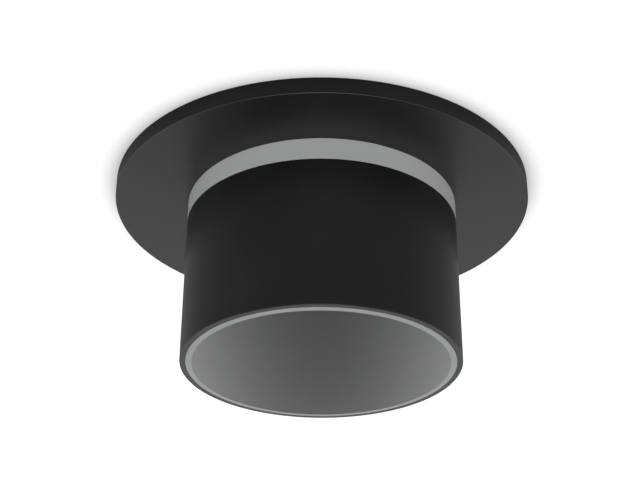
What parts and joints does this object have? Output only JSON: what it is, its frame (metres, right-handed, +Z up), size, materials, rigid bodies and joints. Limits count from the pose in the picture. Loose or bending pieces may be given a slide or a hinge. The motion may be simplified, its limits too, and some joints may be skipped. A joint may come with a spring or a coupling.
{
  "type": "semi-recessed soffit downlight",
  "caption": "Semi-recessed soffit downlight: flat round plate, short lamp tube, glowing opal collar, frosted lens, finned can and sprung clips.",
  "frame": {"origin": "centre of the cover plate's back face, in the plane of the soffit", "axes": "+Z up into the roof space along the lamp's axis; +X through the right clip"},
  "size_m": [0.1722, 0.1538, 0.1475],
  "materials": {
    "black_paint": "fine-texture satin black powder coat",
    "opal_collar": "opal polycarbonate, satin",
    "opal_lens": "sandblasted toughened glass",
    "cast_aluminium": "bare die-cast, satin",
    "spun_aluminium": "bright spun reflector",
    "foam_black": "closed-cell EPDM foam",
    "silicone_grey": "moulded silicone",
    "silicone_black": "moulded silicone",
    "stainless": "stainless fasteners",
    "zinc_steel": "zinc-plated sheet steel",
    "spring_steel": "bright spring wire",
    "board_white": "white solder mask",
    "phosphor": "yellow phosphor",
    "pad_grey": "thermal pad",
    "holder_white": "white moulded plastic",
    "driver_case": "white moulded plastic",
    "terminal_plastic": "natural polyamide",
    "terminal_metal": "brass screws",
    "nylon_black": "black polyamide"
  },
  "bodies": {
    "root": {"cover_plate": "black_paint", "soffit_gasket": "foam_black", "glow_collar": "opal_collar", "collar_upper_seal": "silicone_grey", "collar_lower_seal": "silicone_grey", "lamp_tube": "black_paint", "front_lens": "opal_lens", "lens_seal": "silicone_black", "reflector": "spun_aluminium", "heat_core": "cast_aluminium", "tie_screws": "stainless", "thermal_pad": "pad_grey", "led_board": "board_white", "led_phosphor": "phosphor", "led_holder": "holder_white", "holder_screws": "stainless", "glow_strip": "board_white", "glow_leds": "phosphor", "finned_can": "cast_aluminium", "can_screws": "stainless", "can_lid": "cast_aluminium", "lid_seal": "silicone_black", "lid_screws": "stainless", "driver": "driver_case", "driver_screws": "stainless", "terminal_block": "terminal_plastic", "terminal_screws": "terminal_metal", "gland_body": "nylon_black", "gland_seal": "silicone_black", "gland_cap": "nylon_black", "gland_locknut": "nylon_black", "bracket_screws": "stainless", "clip_bracket_right": "zinc_steel", "clip_bracket_left": "zinc_steel", "clip_pin_right": "stainless", "clip_pin_left": "stainless", "clip_spring_right": "spring_steel", "clip_spring_left": "spring_steel"},
    "clip_arm_right": {"clip_arm_right": "zinc_steel"},
    "clip_arm_left": {"clip_arm_left": "zinc_steel"}
  },
  "joints": [
    {"name": "right_clip_swing", "type": "hinge", "parent": "root", "child": "clip_arm_right", "pos_m": [0.0535, 0, 0.03], "axis": [0, -1, 0], "range_deg": [0, 120], "stiffness_Nm_per_rad": 0.06, "springref_deg": -34.38, "deforming": ["clip_spring_right"]},
    {"name": "left_clip_swing", "type": "hinge", "parent": "root", "child": "clip_arm_left", "pos_m": [-0.0535, 0, 0.03], "axis": [0, 1, 0], "range_deg": [0, 120], "stiffness_Nm_per_rad": 0.06, "springref_deg": -34.38, "deforming": ["clip_spring_left"]}
  ]
}
